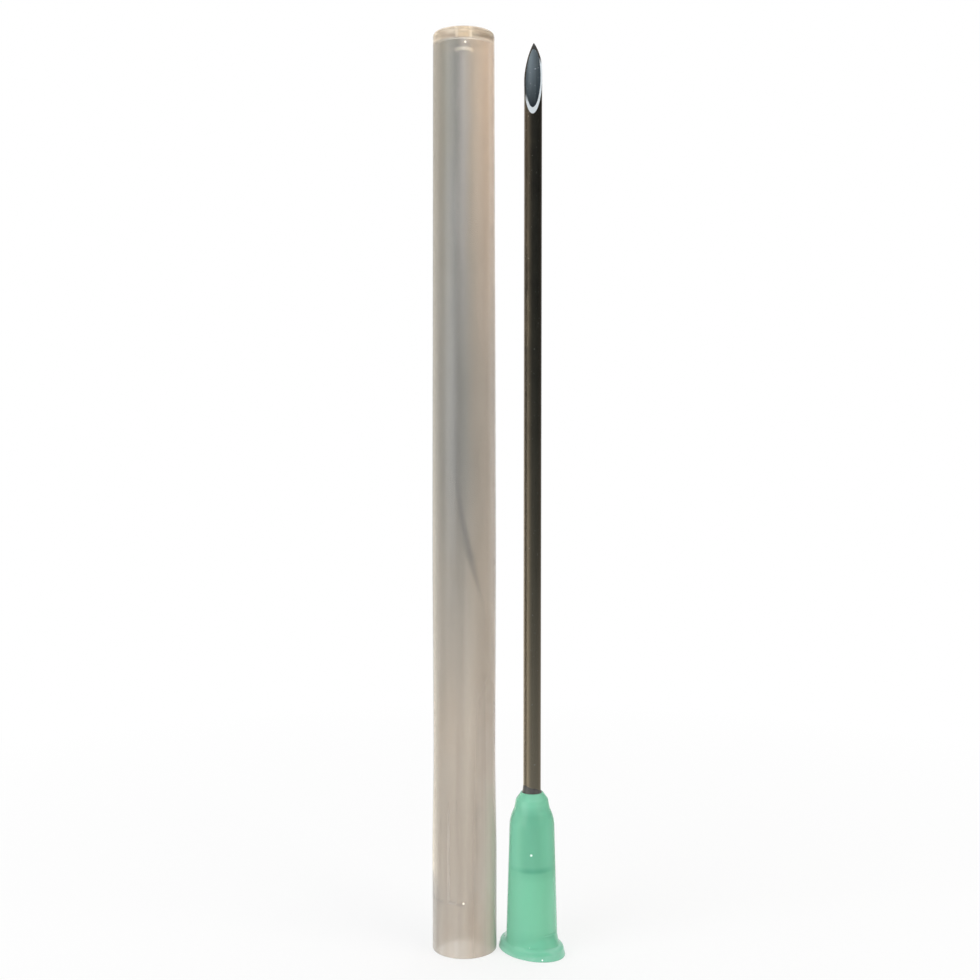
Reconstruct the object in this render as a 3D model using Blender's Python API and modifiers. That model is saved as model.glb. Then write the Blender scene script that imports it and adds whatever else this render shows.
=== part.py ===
"""A wide infusion needle with a luer hub, and its protective sheath stood beside it.

Units are metres and +Z is up. The needle stands on the foot of its hub with the point
upwards, and the sheath stands on its open mouth next to it. The origin is on the surface
that they stand on, in the middle of the box round both.
"""

import math

import bmesh
import bpy
import numpy
from mathutils import Matrix, Vector

MM = 0.001

# Steel tube: a thin-walled 14 gauge tube, whose colour code is a pale green hub
CANNULA_DIA = 2.05 * MM
CANNULA_WALL = 0.18 * MM
CANNULA_EXPOSED = 86.4 * MM
BEVEL_LENGTH = 8.0 * MM
BEVEL_HEADING = math.radians(-10.0)
TUBE_STOCK = 1.0 * MM
GRINDER_SIZE = 20.0 * MM
FACET_TURN = math.radians(31.0)
FACET_ANGLE_LEFT = math.radians(17.8)
FACET_ANGLE_RIGHT = math.radians(22.5)

# Hub, one moulding: foot with an oblong luer flange, tapered body, shoulder and nose
HUB_HEIGHT = 18.85 * MM
BODY_FOOT_DIA = 6.10 * MM
BODY_TOP_DIA = 5.26 * MM
BODY_TOP_Z = 14.85 * MM
SHOULDER_HEIGHT = 2.10 * MM
NOSE_ROOT_DIA = 4.16 * MM
NOSE_TIP_DIA = 3.76 * MM
NOSE_RIM_DIA = 2.56 * MM
NOSE_CHAMFER = 0.72 * MM
NOSE_BREAK = 0.14 * MM
FOOT_ROUND = 0.12 * MM
LUG_SPAN = 8.95 * MM
LUG_WAIST = 6.40 * MM
LUG_RIM_DRAFT = 0.18 * MM
LUG_RIM_THICKNESS = 1.25 * MM
LUG_RAMP_TOP_Z = 2.60 * MM
LUG_RAMP_CURVE = 1.25
LUG_EDGE_ROUND = 0.35 * MM
LUG_HEADING = math.radians(-51.0)
SOCKET_MOUTH_DIA = 4.29 * MM
SOCKET_TAPER = 0.06
SOCKET_DEPTH = 9.2 * MM
SOCKET_CHAMFER = 0.15 * MM
FUNNEL_HEIGHT = 0.70 * MM

# Adhesive that fills the well in the nose and climbs the tube a little
WELL_RIM_DIA = 2.36 * MM
WELL_DEPTH = 1.50 * MM
WELL_STRAIGHT = 0.50 * MM
COLLAR_HEIGHT = 0.42 * MM
COLLAR_LIP = 0.03 * MM
BOND_GAP = 0.05 * MM

# Sheath, one moulding: a long drafted tube with gripping ribs in its mouth
SHEATH_HEIGHT = 106.3 * MM
SHEATH_MOUTH_DIA = 7.56 * MM
SHEATH_WAIST_DIA = 7.27 * MM
SHEATH_BELLY_DIA = 7.42 * MM
SHEATH_TOP_DIA = 7.03 * MM
SHEATH_WALL = 0.60 * MM
SHEATH_END_THICKNESS = 1.30 * MM
SHEATH_END_ROUND = 0.50 * MM
MOUTH_BAND = 10.5 * MM
MOUTH_BAND_DRAFT = 0.05 * MM
WAIST_Z = 24.0 * MM
BELLY_Z = 48.0 * MM
MOUTH_ROUND = 0.15 * MM
MOUTH_WALL = 0.48 * MM
MOUTH_DEPTH = 6.3 * MM
RIB_COUNT = 6
RIB_WIDTH = 0.85 * MM
RIB_TOP_Z = 19.3 * MM
RIB_RUNOUT = 3.2 * MM
RIB_NIB = 0.21 * MM
RIB_BORE_DIA = 5.46 * MM
GATE_WELL_DIA = 1.30 * MM
GATE_FLOOR_DIA = 1.10 * MM
GATE_LIP = 0.08 * MM
GATE_WALL = 0.40 * MM
GATE_DEPTH = 2.10 * MM
GATE_ROUND = 0.25 * MM

# How the two stand on the surface
STAND_GAP = 0.17 * MM
STAND_BEARING = math.radians(11.5)

# Facets
TURNED_STEPS = 48
ARC_STEPS = 5
EDGE_STEPS = 3
EDGE_START = 75.0
SHOULDER_STEPS = 6
RAMP_STEPS = 7
MERGE = 1e-7
SHARP_ANGLE = math.radians(32.0)

# Worked-out places
CANNULA_RADIUS = CANNULA_DIA / 2
TIP_Z = HUB_HEIGHT + CANNULA_EXPOSED
BORE_RADIUS = CANNULA_RADIUS + BOND_GAP
SOCKET_END_RADIUS = (SOCKET_MOUTH_DIA - SOCKET_TAPER * SOCKET_DEPTH) / 2
CANNULA_FOOT_Z = SOCKET_DEPTH + FUNNEL_HEIGHT


def lug_reach(heading):
    """How far the oblong rim of the flange reaches from its axis along a heading."""
    turn = heading - LUG_HEADING
    return math.hypot(LUG_SPAN * math.cos(turn), LUG_WAIST * math.sin(turn)) / 2


STAND_PITCH = SHEATH_MOUTH_DIA / 2 + lug_reach(-STAND_BEARING) + STAND_GAP


def stand_places():
    """Return the axes of needle and sheath, with the box round both centred on the origin."""
    needle = Vector((STAND_PITCH * math.cos(STAND_BEARING), -STAND_PITCH * math.sin(STAND_BEARING), 0.0))
    reach_x = lug_reach(0.0)
    reach_y = lug_reach(math.pi / 2)
    mouth = SHEATH_MOUTH_DIA / 2
    low = Vector((min(-mouth, needle.x - reach_x), min(-mouth, needle.y - reach_y), 0.0))
    high = Vector((max(mouth, needle.x + reach_x), max(mouth, needle.y + reach_y), 0.0))
    middle = (low + high) / 2
    return needle - middle, -middle


def new_collection(name):
    collection = bpy.data.collections.new(name)
    bpy.context.scene.collection.children.link(collection)
    return collection


def material(name, colour, roughness, metallic=0.0, alpha=1.0):
    mat = bpy.data.materials.new(name)
    mat.use_nodes = True
    shader = mat.node_tree.nodes["Principled BSDF"]
    shader.inputs["Base Color"].default_value = (*colour, 1.0)
    shader.inputs["Roughness"].default_value = roughness
    shader.inputs["Metallic"].default_value = metallic
    shader.inputs["Alpha"].default_value = alpha
    return mat


def turned(name, outline, collection, ring=False):
    """Turn an outline of (radius, height) points round Z. It runs down its outer side."""
    mesh = bpy.data.meshes.new(name)
    count = len(outline)
    edges = [(i, i + 1) for i in range(count - 1)]
    if ring:
        edges.append((count - 1, 0))
    mesh.from_pydata([(r, 0.0, z) for r, z in outline], edges, [])
    body = bpy.data.objects.new(name, mesh)
    collection.objects.link(body)
    screw = body.modifiers.new("turn", "SCREW")
    screw.axis = "Z"
    screw.angle = math.tau
    screw.steps = TURNED_STEPS
    screw.render_steps = TURNED_STEPS
    screw.use_merge_vertices = True
    screw.merge_threshold = MERGE
    return body


def arc(centre, radius, start, end, steps=ARC_STEPS):
    """Points on an arc in the (radius, height) plane, angles in degrees from outward."""
    points = []
    for i in range(steps + 1):
        angle = math.radians(start + (end - start) * i / steps)
        points.append((centre[0] + radius * math.cos(angle), centre[1] + radius * math.sin(angle)))
    return points


def boolean(body, tool, operation):
    cut = body.modifiers.new(tool.name, "BOOLEAN")
    cut.object = tool
    cut.operation = operation
    cut.solver = "EXACT"


def hide_tool(tool):
    tool.hide_render = True
    tool.display_type = "WIRE"


def settle(body, mat, place):
    """Apply the modifiers, weld what they left double, shade it and put it in its place."""
    bpy.context.view_layer.update()
    evaluated = body.evaluated_get(bpy.context.evaluated_depsgraph_get())
    mesh = bpy.data.meshes.new_from_object(evaluated)
    work = bmesh.new()
    work.from_mesh(mesh)
    bmesh.ops.remove_doubles(work, verts=work.verts, dist=MERGE)
    bmesh.ops.recalc_face_normals(work, faces=work.faces)
    work.to_mesh(mesh)
    work.free()
    mesh.shade_smooth()
    mesh.set_sharp_from_angle(angle=SHARP_ANGLE)
    mesh.materials.clear()
    mesh.materials.append(mat)
    body.modifiers.clear()
    body.data = mesh
    mesh.name = body.name
    body.location = place


def grinding_block(name, tip, normal, collection):
    """A block that takes away all that lies past the plane through the tip."""
    bpy.ops.mesh.primitive_cube_add(size=GRINDER_SIZE)
    block = bpy.context.active_object
    block.name = name
    for owner in block.users_collection:
        owner.objects.unlink(block)
    collection.objects.link(block)
    turn = normal.to_track_quat("Z", "Y").to_matrix().to_4x4()
    block.matrix_world = Matrix.Translation(tip + normal * (GRINDER_SIZE / 2)) @ turn
    hide_tool(block)
    return block


def make_cannula(parts, tools, mat, place):
    """The steel tube: one long bevel, and a side facet each side of the point."""
    inner = CANNULA_RADIUS - CANNULA_WALL
    stock_top = TIP_Z + TUBE_STOCK
    outline = [
        (CANNULA_RADIUS, stock_top),
        (CANNULA_RADIUS, CANNULA_FOOT_Z),
        (inner, CANNULA_FOOT_Z),
        (inner, stock_top),
    ]
    tube = turned("cannula", outline, parts, ring=True)
    tip = Vector((0.0, CANNULA_RADIUS, TIP_Z))
    bevel = math.atan2(CANNULA_DIA, BEVEL_LENGTH)
    grinds = [("bevel", bevel, 0.0)]
    grinds.append(("facet_left", FACET_ANGLE_LEFT, -FACET_TURN))
    grinds.append(("facet_right", FACET_ANGLE_RIGHT, FACET_TURN))
    for name, angle, turn in grinds:
        flat = math.cos(angle)
        normal = Vector((math.sin(turn) * flat, -math.cos(turn) * flat, math.sin(angle)))
        boolean(tube, grinding_block(name, tip, normal, tools), "DIFFERENCE")
    settle(tube, mat, place)
    tube.rotation_euler.z = BEVEL_HEADING


def hub_outline():
    """Outer side of the hub without its lugs, from the axis at the nose to the axis at the foot."""
    nose_tip = NOSE_TIP_DIA / 2
    nose_root = NOSE_ROOT_DIA / 2
    top = BODY_TOP_DIA / 2
    foot = BODY_FOOT_DIA / 2
    rim = NOSE_RIM_DIA / 2
    points = [(0.0, HUB_HEIGHT), (rim, HUB_HEIGHT)]
    points.append((nose_tip - NOSE_BREAK / 2, HUB_HEIGHT - NOSE_CHAMFER))
    points.append((nose_tip, HUB_HEIGHT - NOSE_CHAMFER - NOSE_BREAK))
    shoulder_top = BODY_TOP_Z + SHOULDER_HEIGHT
    for i in range(SHOULDER_STEPS + 1):
        fall = i / SHOULDER_STEPS
        radius = nose_root + (top - nose_root) * (1 - (1 - fall) ** 2)
        points.append((radius, shoulder_top - SHOULDER_HEIGHT * fall))
    points += arc((foot - FOOT_ROUND, FOOT_ROUND), FOOT_ROUND, 0, -90, EDGE_STEPS)
    points.append((0.0, 0.0))
    return points


def socket_outline():
    """All that is hollow in the hub: luer socket, funnel, bore and the well for the adhesive."""
    mouth = SOCKET_MOUTH_DIA / 2
    run_past = SOCKET_CHAMFER
    return [
        (0.0, HUB_HEIGHT + run_past),
        (WELL_RIM_DIA / 2, HUB_HEIGHT + run_past),
        (WELL_RIM_DIA / 2, HUB_HEIGHT - WELL_STRAIGHT),
        (BORE_RADIUS, HUB_HEIGHT - WELL_DEPTH),
        (BORE_RADIUS, SOCKET_DEPTH + FUNNEL_HEIGHT),
        (SOCKET_END_RADIUS, SOCKET_DEPTH),
        (mouth - SOCKET_TAPER * SOCKET_CHAMFER / 2, SOCKET_CHAMFER),
        (mouth + 2 * SOCKET_CHAMFER, -run_past),
        (0.0, -run_past),
    ]


def make_flange(tools):
    """Both luer lugs in one oblong flange, whose top sweeps up to the body."""
    half_span = LUG_SPAN / 2
    edge = LUG_EDGE_ROUND
    ramp_out = half_span - LUG_RIM_DRAFT - edge
    ramp_in = BODY_FOOT_DIA / 2
    outline = [(0.0, LUG_RAMP_TOP_Z)]
    for i in range(RAMP_STEPS):
        fall = i / RAMP_STEPS
        height = (LUG_RAMP_TOP_Z - LUG_RIM_THICKNESS) * (1 - fall) ** LUG_RAMP_CURVE
        outline.append((ramp_in + (ramp_out - ramp_in) * fall, LUG_RIM_THICKNESS + height))
    outline += arc((ramp_out, LUG_RIM_THICKNESS - edge), edge, EDGE_START, 0, EDGE_STEPS)
    outline += arc((half_span - FOOT_ROUND, FOOT_ROUND), FOOT_ROUND, 0, -90, EDGE_STEPS)
    outline.append((0.0, 0.0))
    flange = turned("flange", outline, tools)
    flange.scale.y = LUG_WAIST / LUG_SPAN
    flange.rotation_euler.z = LUG_HEADING
    hide_tool(flange)
    return flange


def make_hub(parts, tools, mat, place):
    hub = turned("hub", hub_outline(), parts)
    boolean(hub, make_flange(tools), "UNION")
    hollow = turned("hub_hollow", socket_outline(), tools)
    hide_tool(hollow)
    boolean(hub, hollow, "DIFFERENCE")
    settle(hub, mat, place)


def make_adhesive(parts, mat, place):
    """The set adhesive: a plug in the well, with a collar that climbs the tube."""
    well = WELL_RIM_DIA / 2 - BOND_GAP
    inside = CANNULA_RADIUS + BOND_GAP
    step = HUB_HEIGHT - WELL_STRAIGHT
    cone = (WELL_RIM_DIA / 2 - BORE_RADIUS) / (WELL_DEPTH - WELL_STRAIGHT)
    floor = HUB_HEIGHT - WELL_DEPTH + (BOND_GAP + COLLAR_LIP) / cone
    outline = [
        (inside + COLLAR_LIP, HUB_HEIGHT + COLLAR_HEIGHT),
        (inside + 2 * COLLAR_LIP, HUB_HEIGHT + COLLAR_HEIGHT / 2),
        (well, HUB_HEIGHT),
        (well, step),
        (inside + COLLAR_LIP / 2, floor),
        (inside, floor),
        (inside, HUB_HEIGHT + COLLAR_HEIGHT),
    ]
    settle(turned("adhesive", outline, parts, ring=True), mat, place)


def sheath_outline():
    """Outer side of the sheath, from the floor of the gate well down to the mouth."""
    top = SHEATH_TOP_DIA / 2
    gate = GATE_WELL_DIA / 2
    gate_floor = SHEATH_HEIGHT - GATE_DEPTH + GATE_WALL
    points = [(0.0, gate_floor), (GATE_FLOOR_DIA / 2, gate_floor)]
    points.append((gate, SHEATH_HEIGHT - GATE_LIP))
    points.append((gate + GATE_LIP, SHEATH_HEIGHT))
    points += arc((top - SHEATH_END_ROUND, SHEATH_HEIGHT - SHEATH_END_ROUND), SHEATH_END_ROUND, 90, 0)
    points.append((SHEATH_BELLY_DIA / 2, BELLY_Z))
    points.append((SHEATH_WAIST_DIA / 2, WAIST_Z))
    mouth = SHEATH_MOUTH_DIA / 2
    points.append((mouth - MOUTH_BAND_DRAFT, MOUTH_BAND))
    points += arc((mouth - MOUTH_ROUND, MOUTH_ROUND), MOUTH_ROUND, 0, -90, EDGE_STEPS)
    points.append((0.0, 0.0))
    return points


def sheath_bore(z):
    """Radius of the bore at a height: the outer draft less the wall."""
    draft = [(MOUTH_BAND, SHEATH_MOUTH_DIA / 2)]
    draft.append((WAIST_Z, SHEATH_WAIST_DIA / 2))
    draft.append((BELLY_Z, SHEATH_BELLY_DIA / 2))
    draft.append((SHEATH_HEIGHT - SHEATH_END_ROUND, SHEATH_TOP_DIA / 2))
    heights, radii = zip(*draft)
    return float(numpy.interp(z, heights, radii)) - SHEATH_WALL


def core_outline():
    """The core that leaves the hollow: round the gate well, down the bore, out through the mouth."""
    ceiling = SHEATH_HEIGHT - SHEATH_END_THICKNESS
    stud = GATE_WELL_DIA / 2 + GATE_WALL
    stud_end = SHEATH_HEIGHT - GATE_DEPTH
    mouth = SHEATH_MOUTH_DIA / 2 - MOUTH_WALL
    bore_top = sheath_bore(ceiling)
    points = [(0.0, stud_end)]
    points += arc((stud - GATE_ROUND, stud_end + GATE_ROUND), GATE_ROUND, -90, 0, EDGE_STEPS)
    points.append((stud, ceiling))
    points += arc((bore_top - GATE_ROUND, ceiling - GATE_ROUND), GATE_ROUND, 90, 0, EDGE_STEPS)
    points.append((sheath_bore(BELLY_Z), BELLY_Z))
    points.append((sheath_bore(WAIST_Z), WAIST_Z))
    points.append((sheath_bore(MOUTH_BAND), MOUTH_BAND))
    points.append((sheath_bore(MOUTH_DEPTH), MOUTH_DEPTH))
    points.append((mouth, MOUTH_DEPTH - (mouth - sheath_bore(MOUTH_DEPTH))))
    points.append((mouth, MOUTH_ROUND * 2))
    points.append((mouth + MOUTH_ROUND, -MOUTH_ROUND))
    points.append((0.0, -MOUTH_ROUND))
    return points


def make_ribs(tools):
    """Six ribs round the bore that grip the hub, each running out into the wall at its top."""
    grip = RIB_BORE_DIA / 2
    buried = sheath_bore(MOUTH_DEPTH) + SHEATH_WALL / 2
    side = [
        (buried, MOUTH_DEPTH),
        (grip + RIB_NIB, MOUTH_DEPTH),
        (grip, MOUTH_DEPTH + RIB_NIB),
        (grip, RIB_TOP_Z - RIB_RUNOUT),
        (sheath_bore(RIB_TOP_Z), RIB_TOP_Z),
        (buried, RIB_TOP_Z),
    ]
    ribs = bmesh.new()
    for i in range(RIB_COUNT):
        corners = [ribs.verts.new((r, -RIB_WIDTH / 2, z)) for r, z in side]
        flat = ribs.faces.new(corners)
        swept = bmesh.ops.extrude_face_region(ribs, geom=[flat])["geom"]
        far = [part for part in swept if isinstance(part, bmesh.types.BMVert)]
        bmesh.ops.translate(ribs, verts=far, vec=(0.0, RIB_WIDTH, 0.0))
        turn = Matrix.Rotation(math.tau * i / RIB_COUNT, 3, "Z")
        bmesh.ops.rotate(ribs, verts=corners + far, cent=(0.0, 0.0, 0.0), matrix=turn)
    bmesh.ops.recalc_face_normals(ribs, faces=ribs.faces)
    mesh = bpy.data.meshes.new("ribs")
    ribs.to_mesh(mesh)
    ribs.free()
    body = bpy.data.objects.new("ribs", mesh)
    tools.objects.link(body)
    hide_tool(body)
    return body


def make_sheath(parts, tools, mat, place):
    core = turned("sheath_core", core_outline(), tools)
    boolean(core, make_ribs(tools), "DIFFERENCE")
    hide_tool(core)
    sheath = turned("sheath", sheath_outline(), parts)
    boolean(sheath, core, "DIFFERENCE")
    settle(sheath, mat, place)


def main():
    for old in list(bpy.data.objects):
        bpy.data.objects.remove(old, do_unlink=True)
    parts = new_collection("luer_infusion_needle")
    tools = new_collection("cutters")
    steel = material("needle_steel", (0.30, 0.27, 0.22), 0.32, metallic=1.0)
    green = material("pale_green_plastic", (0.21, 0.58, 0.39), 0.35)
    clear = material("set_adhesive", (0.16, 0.13, 0.12), 0.2)
    milky = material("milky_plastic", (0.50, 0.45, 0.38), 0.3, alpha=0.6)
    needle_place, sheath_place = stand_places()
    make_cannula(parts, tools, steel, needle_place)
    make_hub(parts, tools, green, needle_place)
    make_adhesive(parts, clear, needle_place)
    make_sheath(parts, tools, milky, sheath_place)


main()
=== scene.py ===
import math

import bmesh
import bpy
from mathutils import Matrix, Vector


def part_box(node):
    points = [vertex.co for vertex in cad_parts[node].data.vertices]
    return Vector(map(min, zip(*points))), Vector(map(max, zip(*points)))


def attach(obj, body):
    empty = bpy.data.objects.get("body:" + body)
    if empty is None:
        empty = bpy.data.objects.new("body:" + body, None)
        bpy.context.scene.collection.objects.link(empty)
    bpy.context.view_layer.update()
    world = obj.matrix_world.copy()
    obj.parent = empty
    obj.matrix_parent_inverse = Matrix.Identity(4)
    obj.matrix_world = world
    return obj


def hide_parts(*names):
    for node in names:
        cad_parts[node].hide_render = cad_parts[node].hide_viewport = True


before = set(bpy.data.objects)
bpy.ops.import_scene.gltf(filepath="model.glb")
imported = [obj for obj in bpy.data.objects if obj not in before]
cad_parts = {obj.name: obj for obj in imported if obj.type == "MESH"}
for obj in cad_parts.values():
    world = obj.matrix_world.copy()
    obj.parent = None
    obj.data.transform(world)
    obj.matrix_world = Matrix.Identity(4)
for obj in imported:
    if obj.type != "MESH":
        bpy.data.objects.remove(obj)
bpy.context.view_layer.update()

MM = 0.001
CLOSE = 1e-7

# Where the needle and the sheath stand
TUBE_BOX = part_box("cannula")
SHEATH_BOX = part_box("sheath")
NEEDLE_X = (TUBE_BOX[0][0] + TUBE_BOX[1][0]) / 2
NEEDLE_Y = (TUBE_BOX[0][1] + TUBE_BOX[1][1]) / 2
NEEDLE_FOOT = (NEEDLE_X, NEEDLE_Y, 0)
SHEATH_X = (SHEATH_BOX[0][0] + SHEATH_BOX[1][0]) / 2
SHEATH_Y = (SHEATH_BOX[0][1] + SHEATH_BOX[1][1]) / 2
SHEATH_FOOT = (SHEATH_X, SHEATH_Y, 0)

# Steel tube
TUBE_RADIUS = 1.025 * MM
TUBE_WALL = 0.18 * MM
TUBE_FOOT_Z = 9.9 * MM
TIP_Z = 105.25 * MM
GRINDING_STOCK = 1.0 * MM
BEVEL_LENGTH = 8.4 * MM
HEEL_Z = TIP_Z - BEVEL_LENGTH
BEVEL_HEADING = math.radians(-10.0)
FACET_TURN = math.radians(31.0)
FACET_ANGLE_LEFT = math.radians(17.8)
FACET_ANGLE_RIGHT = math.radians(22.5)
TUBE_STEPS = 96
TUBE_SHARP = 10.0
# Where the painted reflection on the tube is lightest, and where it has faded out
TUBE_LIGHT_Z = 18 * MM
TUBE_DARK_Z = 68 * MM
DRAWN, GROUND, HONED, BORE = range(4)

# Hub
HUB_TOP_Z = 18.85 * MM
BODY_TOP_Z = 14.85 * MM
SHOULDER_Z = 16.95 * MM
SHOULDER_ROWS = 16
BODY_FOOT_RADIUS = 3.05 * MM
BODY_TOP_RADIUS = 2.63 * MM
BODY_ROW = 0.8 * MM
BODY_ROWS_FOOT_Z = 3.8 * MM
NOSE_ROOT_RADIUS = 2.08 * MM
NOSE_TIP_RADIUS = 1.88 * MM
NOSE_RIM_RADIUS = 1.28 * MM
NOSE_CHAMFER = 0.72 * MM
FLANGE_HALF_SPAN = 4.474 * MM
FLANGE_HALF_WAIST = 3.20 * MM
FLANGE_HEADING = math.radians(-51.0)
FLANGE_DRAFT = 0.18 * MM
FLANGE_RIM = 1.25 * MM
FLANGE_EDGE = 0.55 * MM
FLANGE_FOOT_EDGE = 0.12 * MM
FLANGE_BLEND = 0.35 * MM
FLANGE_ROW = 0.08 * MM
FLANGE_ROWS = 45
RAMP_TOP_Z = 2.60 * MM
SWELL_TOP_Z = 3.4 * MM
SWELL_INNER_RADIUS = 2.545 * MM
FOOT_FACE_Z = 0.05 * MM
SOCKET_MOUTH_RADIUS = 2.145 * MM
SOCKET_END_RADIUS = 1.869 * MM
SOCKET_DEPTH = 9.2 * MM
SOCKET_CHAMFER = 0.15 * MM
SOCKET_ROW = 1.0 * MM
FUNNEL_DEPTH = 0.7 * MM
BORE_RADIUS = 1.075 * MM
WELL_RADIUS = 1.18 * MM
WELL_DEPTH = 1.5 * MM
WELL_RIM = 0.02 * MM
HUB_STEPS = 144
HUB_SHARP = 42.0

# Broken edges of the hub, as steps outward and up from the corner, in mm
NOSE_RIM_BREAK = [(-0.04, 0.0), (0.03, -0.03)]
NOSE_SIDE_BREAK = [(-0.07, 0.0), (-0.02, -0.06), (0.0, -0.14)]
HUB_FOOT_BREAK = [(-0.02, 0.03), (-0.06, 0.0)]

# Set glue
GLUE_RISE = 0.85 * MM
GLUE_HEADING = math.radians(-160.0)
GLUE_GAP = 0.005 * MM
GLUE_LIP = 0.02 * MM
GLUE_FOOT_GAP = 0.1 * MM
GLUE_BORE_GAP = 0.01 * MM
GLUE_ROWS = 8
GLUE_CURVE = 2.2
GLUE_CREEP_MEAN = 0.62
GLUE_CREEP_SWING = 0.38
GLUE_CREEP_RIPPLE = 0.05

# Sheath
SHEATH_TOP_Z = 106.3 * MM
SHEATH_TOP_RADIUS = 3.515 * MM
SHEATH_TOP_EDGE = 0.5 * MM
SHEATH_BELLY_RADIUS = 3.71 * MM
SHEATH_WAIST_RADIUS = 3.635 * MM
SHEATH_MOUTH_RADIUS = 3.78 * MM
SHEATH_WALL = 0.60 * MM
SHEATH_CORNER = 0.25 * MM
SHEATH_ROWS = 40
WAIST_Z = 24.0 * MM
WAIST_ROWS = 12
BELLY_Z = 48.0 * MM
MOUTH_BAND_Z = 10.5 * MM
MOUTH_BAND_ROW = 1.5 * MM
MOUTH_EDGE = 0.15 * MM
MOUTH_DEPTH = 6.3 * MM
MOUTH_BORE_RADIUS = 3.30 * MM
MOUTH_LEAD_WIDTH = 0.10 * MM
MOUTH_LEAD_DEPTH = 0.3 * MM
LEDGE_DROP = 0.16 * MM
LEDGE_EDGE = 0.04 * MM
LEDGE_GAP = 0.02 * MM
RIB_COUNT = 6
RIB_WIDTH = 0.85 * MM
RIB_FLANK = 0.10 * MM
RIB_TOP_Z = 19.3 * MM
RIB_RUNOUT_Z = 16.1 * MM
RIB_START = 0.22 * MM
RIB_START_SHARE = 0.35
RIB_BORE_RADIUS = 2.73 * MM
RIB_ROWS = 44
RIB_ROWS_TOP_Z = RIB_TOP_Z + 0.3 * MM
GATE_RADIUS = 0.65 * MM
GATE_WALL = 0.40 * MM
GATE_DEPTH = 2.10 * MM
GATE_FLOOR_EDGE = 0.06 * MM
GATE_LIP = [(0.0, -0.08), (0.03, -0.02), (0.10, 0.0)]  # steps outward and up, in mm
STUD_RADIUS = GATE_RADIUS + GATE_WALL
STUD_EDGE = 0.08 * MM
STUD_END_Z = SHEATH_TOP_Z - GATE_DEPTH
END_THICKNESS = 1.30 * MM
CEILING_Z = SHEATH_TOP_Z - END_THICKNESS
SHEATH_STEPS = 180
SHEATH_SHARP = 35.0

# Painted glints, shade and reflection in the plastics. Headings are measured from the front, and a glint is
# its heading, its distance from the axis, its height and its radius.
HUB_GLINTS = [(-0.147, 2.71 * MM, 12.13 * MM, 0.17 * MM), (-0.205, 3.2 * MM, 1.42 * MM, 0.16 * MM),
               (0.19, 4.0 * MM, 0.28 * MM, 0.11 * MM)]
SHEATH_GLINTS = [(-0.02, 3.51 * MM, 104.4 * MM, 0.14 * MM), (-0.105, 3.78 * MM, 6.55 * MM, 0.14 * MM)]
FUNNEL_SHADE_Z = 10.3 * MM
WISP_TOP_Z = 58.5 * MM
WISP_HEART_Z = 46.8 * MM
WISP_FOOT_Z = 41.0 * MM
WISP_TOP_HEADING = math.radians(-21.0)
WISP_FOOT_HEADING = math.radians(36.0)

# Painted light and shade up the sheath: where the middle tints begin and are full, and then the upper ones
MIDDLE_FROM_Z = 27 * MM
MIDDLE_FULL_Z = 57 * MM
UPPER_FROM_Z = 66 * MM
UPPER_FULL_Z = 98 * MM
EDGE_FAINT_Z = 8 * MM
EDGE_FULL_Z = 26 * MM
HAZE_FULL_Z = 20 * MM
HAZE_END_Z = 34 * MM

# Painted light and shade across the sheath, from its left edge at 0 to its right edge at 1
UPPER_LIGHT_AND_SHADE = [(0.04, (0.54, 0.49, 0.42)), (0.20, (0.47, 0.46, 0.41)), (0.33, (0.34, 0.34, 0.32)),
               (0.46, (0.64, 0.630, 0.62)), (0.60, (0.61, 0.550, 0.48)), (0.88, (0.86, 0.73, 0.610))]
MIDDLE_LIGHT_AND_SHADE = [(0.04, (0.41, 0.40, 0.375)), (0.20, (0.440, 0.430, 0.405)), (0.34, (0.380, 0.373, 0.355)),
                (0.50, (0.475, 0.465, 0.440)), (0.66, (0.505, 0.466, 0.418)), (0.88, (0.660, 0.605, 0.545))]
LEDGE_SHADE_ARCS = [(0.04, 0.5), (0.12, 0.8), (0.20, 0.0), (0.31, 0.0), (0.37, 0.8), (0.43, 0.6), (0.48, 0.0)]

# Camera
EYE = Vector((-0.0149, -0.1568, 0.0626))
TARGET = Vector((-0.00094, 0.0002, 0.05413))
LENS = 50.06
SENSOR_WIDTH = 36.0
CLIP_START = 0.005
VIEW_HEADING = math.atan2(EYE.y - NEEDLE_Y, EYE.x - NEEDLE_X)

# Room and floor
ROOM_COLOUR = (0.86, 0.88, 0.90, 1.0)
ROOM_STRENGTH = 0.42
WHITE = (1.0, 1.0, 1.0, 1.0)
FLOOR_COLOUR = (0.90, 0.90, 0.90)
FLOOR_RADIUS = 4.0
FLOOR_STEPS = 96
FLOOR_FADE_START = 0.01
FLOOR_FADE_END = 0.14
FLOOR_WHITE_SHARE = 0.72

# Lamps: name, place, width, height, watts, colour
LAMPS = [("key_right", (0.30, -0.26, 0.26), 0.30, 0.40, 0.98, (1.0, 0.94, 0.86)),
         ("fill_left", (-0.36, -0.26, 0.16), 0.35, 0.40, 1.50, (0.94, 0.97, 1.0)),
         ("top_soft", (0.0, 0.10, 0.45), 0.30, 0.30, 0.7, (1.0, 1.0, 1.0))]
LAMP_TARGET = Vector((0.0, 0.0, 0.05))

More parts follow.
